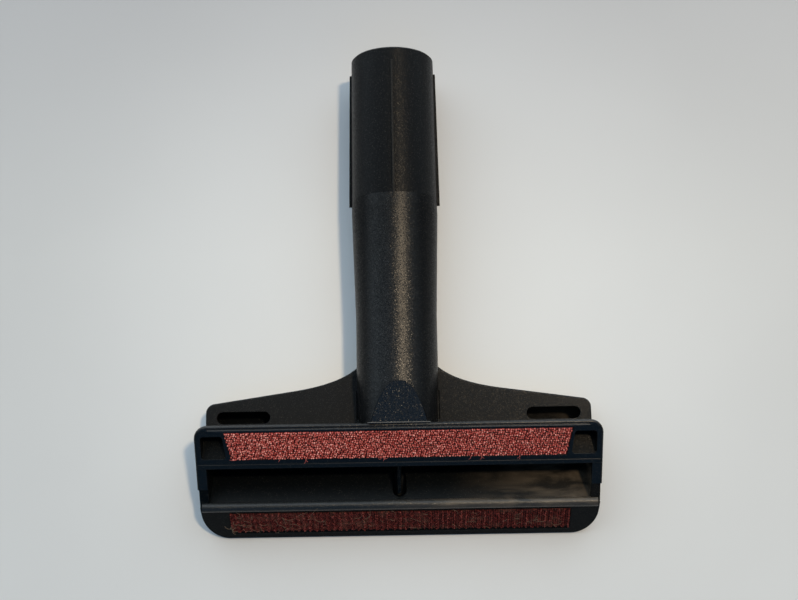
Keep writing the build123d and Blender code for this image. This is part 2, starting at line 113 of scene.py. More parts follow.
room = bpy.data.worlds.new("room")
bpy.context.scene.world = room
room.use_nodes = True
nodes = room.node_tree.nodes
links = room.node_tree.links
nodes.clear()
where = nodes.new("ShaderNodeTexCoord")
sideways = nodes.new("ShaderNodeVectorMath")
sideways.operation = "DOT_PRODUCT"
sideways.inputs[1].default_value = WINDOW_SIDE
links.new(where.outputs["Generated"], sideways.inputs[0])
walls = nodes.new("ShaderNodeMapRange")
walls.inputs["From Min"].default_value = WALLS_FROM
walls.inputs["From Max"].default_value = WALLS_TO
links.new(sideways.outputs["Value"], walls.inputs["Value"])
shade = nodes.new("ShaderNodeValToRGB")
shade.color_ramp.interpolation = "EASE"
shade.color_ramp.elements[0].position = 0.0
shade.color_ramp.elements[0].color = (*DIM_WALL, 1)
shade.color_ramp.elements[1].position = 1.0
shade.color_ramp.elements[1].color = (*BRIGHT_WALL, 1)
links.new(walls.outputs["Result"], shade.inputs["Fac"])
near_side = nodes.new("ShaderNodeVectorMath")
near_side.operation = "DOT_PRODUCT"
near_side.inputs[1].default_value = BLUE_SIDE
links.new(where.outputs["Generated"], near_side.inputs[0])
patch = nodes.new("ShaderNodeMapRange")
patch.interpolation_type = "SMOOTHSTEP"
patch.inputs["From Min"].default_value = BLUE_FROM
patch.inputs["From Max"].default_value = BLUE_TO
links.new(near_side.outputs["Value"], patch.inputs["Value"])
patched = nodes.new("ShaderNodeMix")
patched.data_type = "RGBA"
patched.inputs["B"].default_value = (*BLUE_COLOR, 1)
links.new(patch.outputs["Result"], patched.inputs["Factor"])
links.new(shade.outputs["Color"], patched.inputs["A"])
sky = nodes.new("ShaderNodeBackground")
sky.inputs["Strength"].default_value = 1.0
links.new(patched.outputs["Result"], sky.inputs["Color"])
out = nodes.new("ShaderNodeOutputWorld")
links.new(sky.outputs["Background"], out.inputs["Surface"])


# The table top, a plain pale laminate, far larger than the picture. Its colour carries a painted
# falloff of the light: brightest under the nozzle, darker towards the corners and the far side.
TABLE_HEIGHT = cad_box[0][2]
TABLE_SIZE = 6.0
TABLE_CENTRE_Y = -0.1
TABLE_NEAR_Y = -0.27
TABLE_FAR_Y = 0.05
TABLE_NEAR_COLOR = (0.80, 0.80, 0.79)
TABLE_HALFWAY_COLOR = (0.74, 0.74, 0.73)
TABLE_HALFWAY = 0.55
TABLE_FAR_COLOR = (0.60, 0.60, 0.61)
TABLE_MIDDLE = (0.0, -0.025, 0)
BRIGHT_WITHIN = 0.02
DIM_BEYOND = 0.22
BRIGHT_GAIN = 1.14
DIM_GAIN = 0.885
CLOUD_SCALE = 9.0
CLOUD_DETAIL = 3.0
CLOUD_FROM = 0.3
CLOUD_TO = 0.7
CLOUD_LOW = 0.97
TABLE_ROUGHNESS = 0.6
TABLE_SHINE = 0.3

bpy.ops.mesh.primitive_plane_add(size=TABLE_SIZE, location=(0, TABLE_CENTRE_Y, TABLE_HEIGHT))
table = bpy.context.object
table.name = "table"
laminate = bpy.data.materials.new("pale_laminate")
laminate.use_nodes = True
nodes = laminate.node_tree.nodes
links = laminate.node_tree.links
paint = nodes["Principled BSDF"]
where = nodes.new("ShaderNodeTexCoord")
clouds = nodes.new("ShaderNodeTexNoise")
clouds.inputs["Scale"].default_value = CLOUD_SCALE
clouds.inputs["Detail"].default_value = CLOUD_DETAIL
links.new(where.outputs["Object"], clouds.inputs["Vector"])
uneven = nodes.new("ShaderNodeMapRange")
uneven.inputs["From Min"].default_value = CLOUD_FROM
uneven.inputs["From Max"].default_value = CLOUD_TO
uneven.inputs["To Min"].default_value = CLOUD_LOW
links.new(clouds.outputs["Fac"], uneven.inputs["Value"])
apart = nodes.new("ShaderNodeSeparateXYZ")
links.new(where.outputs["Object"], apart.inputs["Vector"])
# Painted falloff of light: the laminate's colour darkens towards the far side.
away = nodes.new("ShaderNodeMapRange")
away.inputs["From Min"].default_value = TABLE_NEAR_Y - TABLE_CENTRE_Y
away.inputs["From Max"].default_value = TABLE_FAR_Y - TABLE_CENTRE_Y
links.new(apart.outputs["Y"], away.inputs["Value"])
tone = nodes.new("ShaderNodeValToRGB")
tone.color_ramp.elements[0].position = 0.0
tone.color_ramp.elements[0].color = (*TABLE_NEAR_COLOR, 1)
tone.color_ramp.elements[1].position = 1.0
tone.color_ramp.elements[1].color = (*TABLE_FAR_COLOR, 1)
halfway = tone.color_ramp.elements.new(TABLE_HALFWAY)
halfway.color = (*TABLE_HALFWAY_COLOR, 1)
links.new(away.outputs["Result"], tone.inputs["Fac"])
# Painted falloff of light: brighter near the middle, darker towards the corners.
from_middle = nodes.new("ShaderNodeVectorMath")
from_middle.operation = "DISTANCE"
from_middle.inputs[1].default_value = TABLE_MIDDLE
links.new(where.outputs["Object"], from_middle.inputs[0])
painted_falloff = nodes.new("ShaderNodeMapRange")
painted_falloff.interpolation_type = "SMOOTHSTEP"
painted_falloff.inputs["From Min"].default_value = BRIGHT_WITHIN
painted_falloff.inputs["From Max"].default_value = DIM_BEYOND
painted_falloff.inputs["To Min"].default_value = BRIGHT_GAIN
painted_falloff.inputs["To Max"].default_value = DIM_GAIN
links.new(from_middle.outputs["Value"], painted_falloff.inputs["Value"])
patchy = nodes.new("ShaderNodeMath")
patchy.operation = "MULTIPLY"
links.new(painted_falloff.outputs["Result"], patchy.inputs[0])
links.new(uneven.outputs["Result"], patchy.inputs[1])
painted_falloff_color = nodes.new("ShaderNodeVectorMath")
painted_falloff_color.operation = "SCALE"
links.new(tone.outputs["Color"], painted_falloff_color.inputs[0])
links.new(patchy.outputs["Value"], painted_falloff_color.inputs["Scale"])
links.new(painted_falloff_color.outputs["Vector"], paint.inputs["Base Color"])
paint.inputs["Roughness"].default_value = TABLE_ROUGHNESS
paint.inputs["Specular IOR Level"].default_value = TABLE_SHINE
table.data.materials.append(laminate)


# The nozzle body, one black plastic moulding. Its tube, facet and bead are made round here. The
# grained surface glitters in the lamp's light; it is satin on the neck and the rim, glossy on the
# bead, dull on the fishtail and the lands. Painted light lies in its colours: shade on the lands
# and inside, a sheen on the bead, wear and a highlight on the top rib, a highlight on the facet's
# foot, glints in pale specks, and dust with a painted warm sheen at the right of the air way and
# the bead.
TUBE_SIDES = 160
TUBE_RINGS = (
    (0.0, 0.0195),
    (0.0008, 0.0203),
    (0.07145, 0.0208),
    (0.07155, 0.02095),
    (0.0785, 0.02095),
    (0.1285, 0.0195),
    (0.1600, 0.0195),
    (0.1794, 0.0184),
)
TUBE_WALL_INSIDE = 0.0180
BORE_PAST_MOUTH = 0.04
FOOT_WALL_INSIDE = 0.0172
FOOT_FROM_Y = -0.145
FOOT_BORE_LENGTH = 0.08
FOOT_BORE_SHIFT = 0.02
FACET_WALL = 0.0015
NECK_RADIUS = 0.0195
TUBE_STUB_Y = -0.140
TUBE_STUB_Z = -0.0052
TOOL_HALF = 0.03
TOOL_END_Y = -0.2
HEAD_Y = -0.179
RIM_Z = 0.0124
SOLE_SLOPE = math.radians(21.0)
MOULDED_FACET_DROP = 0.0006
FACET_Z = 0.0128
FACET_SLOPE = math.radians(19.2)
FACET_ROLL = math.radians(2.8)
FACET_ROUND = 0.0009
FACET_ROUND_STEPS = 3
LIP_RADIUS = 0.00026
LIP_HALF = 0.0146
LIP_MIDDLE_X = 0.0005
LIP_SIDES = 10
FACET_SEAM_DEEP = 0.0009
BEAD_SIDES = 96
BEAD_RADIUS = 0.00232
BEAD_Y = HEAD_Y - 0.0386
BEAD_Z = -0.003717
BEAD_HALF = 0.09375
SLOT_START = HEAD_Y - 0.0203
SLOT_END = HEAD_Y - 0.0366
SLOT_HALF = 0.09045
SOCKET_END = -0.0715
TOP_RIB_END = -0.0710
TOP_RIB_REACH = 0.004
TOP_RIB_FOOT = 0.0213
TOP_RIB_CREST = 0.0216
RIB_RAMP_START = -0.0685
RIB_HALF = 0.0006
WING_Z = -0.0045
SLIT_INNER = 0.0187
SLIT_OUTER = 0.0200
SLIT_NEAR_Y = -0.1778
SLIT_FAR_Y = -0.1640
SLIT_DEEP = 0.0009
SLIT_PROUD = 0.00002
SKIN_INSIDE = 0.0192
SKIN_OUTSIDE = 0.0211
SKIN_PAST_HEAD = 0.003
FACET_INSIDE = 0.0175
CLEAR = 0.0001
FLUSH = 0.00002
TUCK = 0.00015
SMOOTH_ANGLE = math.radians(17)
FLAT_WEIGHT = 80
MERGE = 1e-6


def sole_z(y):
    """Height of the plane of the upper land."""
    return RIM_Z + math.tan(SOLE_SLOPE) * (y - HEAD_Y)


def moulded_facet_z(y):
    """Height of the moulding's own facet, which the tube's facet covers."""
    return sole_z(y) - MOULDED_FACET_DROP / math.cos(SOLE_SLOPE)


def facet_z(x):
    """Height of the tube's facet at its foot, where it meets the rim."""
    return FACET_Z - math.tan(FACET_ROLL) * x


def ring_radius(distance):
    """The tube's outer radius at a distance from its mouth."""
    for (start, first), (stop, last) in zip(TUBE_RINGS, TUBE_RINGS[1:]):
        if distance <= stop:
            return first + (last - first) * (distance - start) / (stop - start)
    return TUBE_RINGS[-1][1]


def only(piece):
    """Make this the one selected and active object."""
    bpy.ops.object.select_all(action="DESELECT")
    bpy.context.view_layer.objects.active = piece
    piece.select_set(True)


def combine(piece, tool, operation):
    """Join a tool to a piece, or cut it out, and remove the tool."""
    only(piece)
    step = piece.modifiers.new("step", "BOOLEAN")
    step.operation = operation
    step.solver = "EXACT"
    step.object = tool
    bpy.ops.object.modifier_apply(modifier=step.name)
    bpy.data.objects.remove(tool, do_unlink=True)


def block(low, high):
    """A plain block between two corners, used as a tool."""
    middle = [(a + b) / 2 for a, b in zip(low, high)]
    bpy.ops.mesh.primitive_cube_add(size=1, location=middle)
    tool = bpy.context.object
    tool.scale = [b - a for a, b in zip(low, high)]
    bpy.ops.object.transform_apply(location=True, rotation=True, scale=True)
    return tool


def rod(sides, radius, length, middle, turned):
    """A round bar, used as a tool."""
    bpy.ops.mesh.primitive_cylinder_add(vertices=sides, radius=radius, depth=length,
                                        location=middle, rotation=turned)
    tool = bpy.context.object
    bpy.ops.object.transform_apply(location=True, rotation=True, scale=True)
    return tool


def cut_off(tool, place, outward):
    """Cut away what lies outside a plane, and close the cut."""
    only(tool)
    bpy.ops.object.mode_set(mode="EDIT")
    bpy.ops.mesh.select_all(action="SELECT")
    bpy.ops.mesh.bisect(plane_co=place, plane_no=outward, use_fill=True, clear_outer=True)
    bpy.ops.object.mode_set(mode="OBJECT")


bpy.ops.object.select_all(action="DESELECT")
tube_length = TUBE_RINGS[-1][0]
along_y = (math.pi / 2, 0, 0)
along_x = (0, math.pi / 2, 0)
tube = rod(TUBE_SIDES, TUBE_RINGS[-1][1], tube_length, (0, -tube_length / 2, 0), along_y)
bpy.ops.object.mode_set(mode="EDIT")
for distance, radius in TUBE_RINGS[1:-1]:
    bpy.ops.mesh.select_all(action="SELECT")
    bpy.ops.mesh.bisect(plane_co=(0, -distance, 0), plane_no=(0, 1, 0))
bpy.ops.object.mode_set(mode="OBJECT")
for vertex in tube.data.vertices:
    grow = ring_radius(-vertex.co.y) / math.hypot(vertex.co.x, vertex.co.z)
    vertex.co.x *= grow
    vertex.co.z *= grow
facet_normal = Vector((math.tan(FACET_ROLL), -math.tan(FACET_SLOPE), 1)).normalized()
facet_place = Vector((0, HEAD_Y, FACET_Z))
cut_off(tube, facet_place, facet_normal)
for edge in tube.data.edges:
    ends = [tube.data.vertices[number].co for number in edge.vertices]
    in_facet = all(abs((end - facet_place).dot(facet_normal)) < MERGE for end in ends)
    edge.select = in_facet and max(end.y for end in ends) > -tube_length + MERGE
only(tube)
bpy.ops.object.mode_set(mode="EDIT")
bpy.ops.mesh.bevel(offset=FACET_ROUND, segments=FACET_ROUND_STEPS, profile=0.5,
                   clamp_overlap=True)
bpy.ops.object.mode_set(mode="OBJECT")
bore_length = BORE_PAST_MOUTH - FOOT_FROM_Y
bore_middle = (0, BORE_PAST_MOUTH - bore_length / 2, 0)
combine(tube, rod(TUBE_SIDES, TUBE_WALL_INSIDE, bore_length, bore_middle, along_y), "DIFFERENCE")
foot_middle = (0, FOOT_FROM_Y - FOOT_BORE_SHIFT, 0)
foot_bore = rod(TUBE_SIDES, FOOT_WALL_INSIDE, FOOT_BORE_LENGTH, foot_middle, along_y)
cut_off(foot_bore, facet_place - FACET_WALL * facet_normal, facet_normal)
combine(tube, foot_bore, "DIFFERENCE")
under_foot = block((-TOOL_HALF, TOOL_END_Y, -TOOL_HALF), (TOOL_HALF, TUBE_STUB_Y, TUBE_STUB_Z))
combine(tube, under_foot, "DIFFERENCE")
seam_z = FACET_Z - FACET_SEAM_DEEP
past_rim = block((-TOOL_HALF, TOOL_END_Y, seam_z), (TOOL_HALF, HEAD_Y, TOOL_HALF))
combine(tube, past_rim, "DIFFERENCE")
lip_middle = (LIP_MIDDLE_X, HEAD_Y + LIP_RADIUS / 2, FACET_Z)
lip_turn = (0, math.pi / 2 + FACET_ROLL, 0)
combine(tube, rod(LIP_SIDES, LIP_RADIUS, 2 * LIP_HALF, lip_middle, lip_turn), "UNION")

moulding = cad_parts["nozzle_body"]
body = moulding.copy()
body.data = moulding.data.copy()
body.name = "body_moulding"
body.parent = None
body.matrix_world = Matrix.Identity(4)
bpy.context.collection.objects.link(body)
only(body)
bpy.ops.mesh.customdata_custom_splitnormals_clear()
bpy.ops.object.mode_set(mode="EDIT")
bpy.ops.mesh.select_all(action="SELECT")
bpy.ops.mesh.remove_doubles(threshold=MERGE)
bpy.ops.object.mode_set(mode="OBJECT")
for vertex in body.data.vertices:
    x, y, z = vertex.co
    radius = math.hypot(x, z)
    on_skin = y > HEAD_Y - SKIN_PAST_HEAD and SKIN_INSIDE < radius < SKIN_OUTSIDE
    if on_skin and (y > TUBE_STUB_Y or z > WING_Z + CLEAR):
        tuck = TUCK + (NECK_RADIUS - ring_radius(-y) if y < TUBE_STUB_Y else 0)
        vertex.co.x *= 1 - tuck / radius
        vertex.co.z *= 1 - tuck / radius
    elif SOCKET_END - TOP_RIB_REACH < y < TOP_RIB_END and abs(x) < RIB_HALF and z > TOP_RIB_FOOT:
        vertex.co.y = TOP_RIB_END if z < TOP_RIB_CREST else RIB_RAMP_START
    elif y > HEAD_Y and radius > FACET_INSIDE and abs(z - moulded_facet_z(y)) < FLUSH:
        vertex.co.z -= TUCK
combine(body, tube, "UNION")
combine(body, rod(BEAD_SIDES, BEAD_RADIUS, 2 * BEAD_HALF, (0, BEAD_Y, BEAD_Z), along_x), "UNION")
slit_floor = WING_Z - SLIT_DEEP
slit_top = WING_Z + SLIT_PROUD
for inner, outer in ((SLIT_INNER, SLIT_OUTER), (-SLIT_OUTER, -SLIT_INNER)):
    slit = block((inner, SLIT_NEAR_Y, slit_floor), (outer, SLIT_FAR_Y, slit_top))
    combine(body, slit, "DIFFERENCE")
only(body)
bpy.ops.object.shade_smooth_by_angle(angle=SMOOTH_ANGLE)
weighted = body.modifiers.new("flat_faces_first", "WEIGHTED_NORMAL")
weighted.keep_sharp = True
weighted.weight = FLAT_WEIGHT
bpy.ops.object.modifier_apply(modifier=weighted.name)

PLASTIC_COLOR = (0.0036, 0.0040, 0.0046)
# Painted shade: the air way, the chamber and the pockets are painted darker and bluer than the
# plastic.
INSIDE_PAINTED_SHADE_COLOR = (0.0013, 0.0025, 0.0034)
# Painted sheen: the bead is painted lighter than the same plastic, for its bright reflection.
BEAD_PAINTED_SHEEN_COLOR = (0.010, 0.012, 0.014)
# Painted shade: the lands are painted darker and bluer than the same plastic elsewhere.
LAND_PAINTED_SHADE_COLOR = (0.0024, 0.0038, 0.0050)
# The top rib is painted lighter: partly wear, partly a painted highlight along its crest.
WORN_AND_HIGHLIT_COLOR = (0.0085, 0.0082, 0.0078)
# Painted highlight: the thin lip along the facet's foot is painted pale for the light line on that
# edge.
LIP_PAINTED_HIGHLIGHT_COLOR = (0.06, 0.06, 0.058)
# Painted glints: pale specks in the plastic's colour stand in for the sparkle of its grain.
GLINT_SPECK_COLOR = (0.10, 0.095, 0.085)
# Dust and painted sheen: brown streaks growing towards the right, partly dust and partly a painted
# warm sheen.
DUST_AND_SHEEN_COLOR = (0.125, 0.098, 0.070)
EDGE_ROUND = 0.0004
EDGE_SAMPLES = 6
GRAIN_SIZE = 0.00042
SPECK_CELL = 0.00028
SPECK_RIM = 0.5
SPECK_HEART = 0.1
FLAKE_ROUGHNESS = 0.30
TURN_MIDDLE = (0.5, 0.5, 0.5)
PLASTIC_IOR = 1.49
DUST_AND_SHEEN_TURN = 0.35
DUST_AND_SHEEN_STREAKS = (45, 170, 90)
DUST_AND_SHEEN_DETAIL = 6.0
DUST_AND_SHEEN_WARP = 0.5
DUST_AND_SHEEN_THIN = 0.40
DUST_AND_SHEEN_THICK = 0.70
DUST_AND_SHEEN_LEAST = 0.12
SHINE_NEAR_Y = -0.080
SHINE_FAR_Y = -0.170
SHINE_LEFT = 0.0008
SHINE_INSIDE = 0.0078
SHINE_OUTSIDE = 0.0145
BORE_SKIN = 0.0178
DUCT_SKIN = 0.0165
NECK_SKIN = 0.0212
RIB_PROUD = 0.0003
LIP_PAST = 0.001
SLOT_MARGIN = 0.0005
FACET_MIDDLE = 0.0128
IN_FACET = 0.9995
LEVEL = 0.95
NEARLY_LEVEL = 0.8
CHAMBER_DROP = 0.0104
WING_MARGIN = 0.0005
WING_FROM = 0.0198
POCKET_FROM_X = 0.0795
RIM_FACE = 0.0023
UPPER_LAND_EDGE = 0.0030
RECESS_FLOOR = 0.0004
AIR_WAY_DEEP = 0.0026
LOWER_LAND_RISE = 0.0012


def black_plastic(name, color, roughness, shine, grain_deep, glitter, flake_share, glint_speck_share,
                  dust_and_sheen_start, dust_and_sheen_stop, dust_and_sheen_most):
    """The black plastic with its grain, pale specks painted in as glints, tilted flakes and, in
    places, streaks of dust with a painted warm sheen.

    Shine is one number, or three: near the socket, near the head, and the share left on the flanks.
    """
    plastic = bpy.data.materials.new(name)
    plastic.use_nodes = True
    nodes = plastic.node_tree.nodes
    links = plastic.node_tree.links
    paint = nodes["Principled BSDF"]
    where = nodes.new("ShaderNodeTexCoord")

    specks = nodes.new("ShaderNodeTexVoronoi")
    specks.inputs["Scale"].default_value = 1 / SPECK_CELL
    links.new(where.outputs["Object"], specks.inputs["Vector"])
    small = nodes.new("ShaderNodeMapRange")
    small.inputs["From Min"].default_value = SPECK_RIM
    small.inputs["From Max"].default_value = SPECK_HEART
    links.new(specks.outputs["Distance"], small.inputs["Value"])
    pick = nodes.new("ShaderNodeSeparateColor")
    links.new(specks.outputs["Color"], pick.inputs["Color"])
    turned = nodes.new("ShaderNodeTexWhiteNoise")
    links.new(specks.outputs["Color"], turned.inputs["Vector"])
    some = nodes.new("ShaderNodeMapRange")
    some.inputs["From Min"].default_value = 1 - glint_speck_share
    some.inputs["From Max"].default_value = 1.0
    links.new(pick.outputs["Red"], some.inputs["Value"])
    # Painted glints: a share of the cells is painted pale.
    painted_glint = nodes.new("ShaderNodeMath")
    painted_glint.operation = "MULTIPLY"
    links.new(small.outputs["Result"], painted_glint.inputs[0])
    links.new(some.outputs["Result"], painted_glint.inputs[1])
    base = nodes.new("ShaderNodeMix")
    base.data_type = "RGBA"
    base.inputs["A"].default_value = (*color, 1)
    base.inputs["B"].default_value = (*GLINT_SPECK_COLOR, 1)
    links.new(painted_glint.outputs["Value"], base.inputs["Factor"])
    result = base.outputs["Result"]

    # Streaks of dust and painted warm sheen, growing towards the right.
    if dust_and_sheen_most > 0:
        streak_turn = nodes.new("ShaderNodeMapping")
        streak_turn.inputs["Rotation"].default_value = (0, 0, DUST_AND_SHEEN_TURN)
        streak_turn.inputs["Scale"].default_value = DUST_AND_SHEEN_STREAKS
        links.new(where.outputs["Object"], streak_turn.inputs["Vector"])
        streak = nodes.new("ShaderNodeTexNoise")
        streak.inputs["Scale"].default_value = 1.0
        streak.inputs["Detail"].default_value = DUST_AND_SHEEN_DETAIL
        streak.inputs["Distortion"].default_value = DUST_AND_SHEEN_WARP
        links.new(streak_turn.outputs["Vector"], streak.inputs["Vector"])
        streak_share = nodes.new("ShaderNodeMapRange")
        streak_share.inputs["From Min"].default_value = DUST_AND_SHEEN_THIN
        streak_share.inputs["From Max"].default_value = DUST_AND_SHEEN_THICK
        streak_share.inputs["To Min"].default_value = DUST_AND_SHEEN_LEAST
        links.new(streak.outputs["Fac"], streak_share.inputs["Value"])
        apart = nodes.new("ShaderNodeSeparateXYZ")
        links.new(where.outputs["Object"], apart.inputs["Vector"])
        towards_right = nodes.new("ShaderNodeMapRange")
        towards_right.interpolation_type = "SMOOTHSTEP"
        towards_right.inputs["From Min"].default_value = dust_and_sheen_start
        towards_right.inputs["From Max"].default_value = dust_and_sheen_stop
        towards_right.inputs["To Max"].default_value = dust_and_sheen_most
        links.new(apart.outputs["X"], towards_right.inputs["Value"])
        amount = nodes.new("ShaderNodeMath")
        amount.operation = "MULTIPLY"
        links.new(streak_share.outputs["Result"], amount.inputs[0])
        links.new(towards_right.outputs["Result"], amount.inputs[1])
        dust_and_sheen = nodes.new("ShaderNodeMix")
        dust_and_sheen.data_type = "RGBA"
        dust_and_sheen.inputs["B"].default_value = (*DUST_AND_SHEEN_COLOR, 1)
        links.new(result, dust_and_sheen.inputs["A"])
        links.new(amount.outputs["Value"], dust_and_sheen.inputs["Factor"])
        result = dust_and_sheen.outputs["Result"]
    links.new(result, paint.inputs["Base Color"])

    soft_edge = nodes.new("ShaderNodeBevel")
    soft_edge.samples = EDGE_SAMPLES
    soft_edge.inputs["Radius"].default_value = EDGE_ROUND
    grain = nodes.new("ShaderNodeTexNoise")
    grain.inputs["Scale"].default_value = 1 / GRAIN_SIZE
    grain.inputs["Detail"].default_value = 1.0
    links.new(where.outputs["Object"], grain.inputs["Vector"])
    relief = nodes.new("ShaderNodeBump")
    relief.inputs["Strength"].default_value = 1.0
    relief.inputs["Distance"].default_value = grain_deep
    links.new(grain.outputs["Fac"], relief.inputs["Height"])
    links.new(soft_edge.outputs["Normal"], relief.inputs["Normal"])
    flake = nodes.new("ShaderNodeMath")
    flake.operation = "GREATER_THAN"
    flake.inputs[1].default_value = 1 - flake_share
    links.new(pick.outputs["Green"], flake.inputs[0])
    way = nodes.new("ShaderNodeVectorMath")
    way.operation = "SUBTRACT"
    way.inputs[1].default_value = TURN_MIDDLE
    links.new(turned.outputs["Color"], way.inputs[0])
    tilt = nodes.new("ShaderNodeMath")
    tilt.operation = "MULTIPLY"
    tilt.inputs[1].default_value = glitter
    links.new(flake.outputs["Value"], tilt.inputs[0])
    lean = nodes.new("ShaderNodeVectorMath")
    lean.operation = "SCALE"
    links.new(way.outputs["Vector"], lean.inputs[0])
    links.new(tilt.outputs["Value"], lean.inputs["Scale"])
    leaning = nodes.new("ShaderNodeVectorMath")
    leaning.operation = "ADD"
    links.new(relief.outputs["Normal"], leaning.inputs[0])
    links.new(lean.outputs["Vector"], leaning.inputs[1])
    facing = nodes.new("ShaderNodeVectorMath")
    facing.operation = "NORMALIZE"
    links.new(leaning.outputs["Vector"], facing.inputs[0])
    links.new(facing.outputs["Vector"], paint.inputs["Normal"])
    polish = nodes.new("ShaderNodeMapRange")
    polish.inputs["To Min"].default_value = roughness
    polish.inputs["To Max"].default_value = FLAKE_ROUGHNESS
    links.new(flake.outputs["Value"], polish.inputs["Value"])
    links.new(polish.outputs["Result"], paint.inputs["Roughness"])
    paint.inputs["IOR"].default_value = PLASTIC_IOR
    if isinstance(shine, float):
        paint.inputs["Specular IOR Level"].default_value = shine
        return plastic

    near_shine, far_shine, flank_share = shine
    paint.inputs["Specular IOR Level"].default_value = (near_shine + far_shine) / 2
    along = nodes.new("ShaderNodeSeparateXYZ")
    links.new(where.outputs["Object"], along.inputs["Vector"])
    rubbed = nodes.new("ShaderNodeMapRange")
    rubbed.inputs["From Min"].default_value = SHINE_NEAR_Y
    rubbed.inputs["From Max"].default_value = SHINE_FAR_Y
    rubbed.inputs["To Min"].default_value = near_shine
    rubbed.inputs["To Max"].default_value = far_shine
    links.new(along.outputs["Y"], rubbed.inputs["Value"])
    beside = nodes.new("ShaderNodeMath")
    beside.operation = "ADD"
    beside.inputs[1].default_value = SHINE_LEFT
    links.new(along.outputs["X"], beside.inputs[0])
    off_top = nodes.new("ShaderNodeMath")
    off_top.operation = "ABSOLUTE"
    links.new(beside.outputs["Value"], off_top.inputs[0])
    flank = nodes.new("ShaderNodeMapRange")
    flank.interpolation_type = "SMOOTHSTEP"
    flank.inputs["From Min"].default_value = SHINE_INSIDE
    flank.inputs["From Max"].default_value = SHINE_OUTSIDE
    flank.inputs["To Min"].default_value = 1.0
    flank.inputs["To Max"].default_value = flank_share
    links.new(off_top.outputs["Value"], flank.inputs["Value"])
    shining = nodes.new("ShaderNodeMath")
    shining.operation = "MULTIPLY"
    links.new(rubbed.outputs["Result"], shining.inputs[0])
    links.new(flank.outputs["Result"], shining.inputs[1])
    links.new(shining.outputs["Value"], paint.inputs["Specular IOR Level"])
    return plastic


# Each finish: colour, roughness, shine, grain depth, glitter, share of flakes, share of specks
# (painted glints), and the dust with its painted warm sheen, which grows from one x to another up
# to its most.
PLASTICS = {
    "satin": (PLASTIC_COLOR, 0.36, (0.24, 0.50, 1.0), 0.00003, 0.34, 0.50, 0.22, 0, 0, 0),
    "neck": (PLASTIC_COLOR, 0.36, (0.24, 0.54, 0.22), 0.00003, 0.34, 0.50, 0.22, 0, 0, 0),
    "socket": (PLASTIC_COLOR, 0.46, 0.10, 0.00002, 0.25, 0.40, 0.15, 0, 0, 0),
    "worn_and_highlit": (WORN_AND_HIGHLIT_COLOR, 0.45, 0.15, 0.00002, 0.20, 0.28, 0.20, 0, 0, 0),
    "lip": (LIP_PAINTED_HIGHLIGHT_COLOR, 0.40, 0.60, 0.00002, 0.20, 0.28, 0.30, 0, 0, 0),
    "facet": (PLASTIC_COLOR, 0.40, 0.62, 0.00004, 0.74, 0.50, 0.60, 0, 0, 0),
    "wing": (PLASTIC_COLOR, 0.68, 0.26, 0.00003, 0.10, 0.28, 0.22, 0, 0, 0),
    "upper_land": (LAND_PAINTED_SHADE_COLOR, 0.42, 0.30, 0.00002, 0.10, 0.28, 0.12, 0, 0, 0),
    "lower_land": (LAND_PAINTED_SHADE_COLOR, 0.55, 0.07, 0.00002, 0.10, 0.28, 0.12, 0, 0, 0),
    "bead": (BEAD_PAINTED_SHEEN_COLOR, 0.31, 0.38, 0.00005, 0.42, 0.50, 0.70, -0.03, 0.06, 1.0),
    "air_way": (INSIDE_PAINTED_SHADE_COLOR, 0.45, 0.11, 0.00003, 0.08, 0.28, 0.10, 0.02, 0.085, 0.95),
    "chamber": (INSIDE_PAINTED_SHADE_COLOR, 0.60, 0.06, 0.00002, 0.05, 0.28, 0.05, 0.02, 0.085, 0.35),
    "pocket": (INSIDE_PAINTED_SHADE_COLOR, 0.50, 0.07, 0.00004, 0.30, 0.28, 0.20, 0.00, 0.09, 0.09),
}
body.data.materials.clear()
for name, values in PLASTICS.items():
    body.data.materials.append(black_plastic(f"{name}_black_plastic", *values))
zone = {name: number for number, name in enumerate(PLASTICS)}


def finish_of(face):
    """The finish of a face of the body, from its place and the way it faces."""
    x, y, z = face.center
    radius = math.hypot(x, z)
    from_bead = math.hypot(y - BEAD_Y, z - BEAD_Z)
    under_sole = sole_z(y) - z
    past_rim = y < HEAD_Y - RIM_FACE
    if y > SOCKET_END and radius > ring_radius(-y) + RIB_PROUD and abs(x) < RIB_HALF:
        return "worn_and_highlit"
    if y > SOCKET_END and radius > BORE_SKIN:
        return "socket"
    at_lip = abs(y - HEAD_Y) < 2 * LIP_RADIUS and abs(x) < LIP_HALF + LIP_PAST
    if at_lip and z > facet_z(x) + CLEAR:
        return "lip"
    if y > HEAD_Y and radius > FACET_MIDDLE and face.normal.dot(facet_normal) > IN_FACET:
        return "facet"
    if y > SOCKET_END and radius > DUCT_SKIN:
        return "chamber"
    if abs(from_bead - BEAD_RADIUS) < FLUSH:
        return "bead"
    if face.normal.z > NEARLY_LEVEL and z < WING_Z - CHAMBER_DROP and y > SLOT_START:
        return "chamber"
    if y > HEAD_Y and z < WING_Z + WING_MARGIN and (radius > WING_FROM or face.normal.z > LEVEL):
        return "wing"
    if past_rim and abs(x) > POCKET_FROM_X and y > SLOT_START and under_sole > RECESS_FLOOR:
        return "pocket"
    in_slot = y > SLOT_END - SLOT_MARGIN and abs(x) < SLOT_HALF + CLEAR
    if past_rim and in_slot and under_sole > AIR_WAY_DEEP:
        return "air_way"
    if y < SLOT_END and under_sole > -LOWER_LAND_RISE:
        return "lower_land"
    if past_rim and under_sole > RECESS_FLOOR:
        return "pocket"
    if y < HEAD_Y - UPPER_LAND_EDGE:
        return "upper_land"
    if y > HEAD_Y and BORE_SKIN < radius < NECK_SKIN:
        return "neck"
    return "satin"


for face in body.data.polygons:
    face.material_index = zone[finish_of(face)]
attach(body, "root")
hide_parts("nozzle_body")


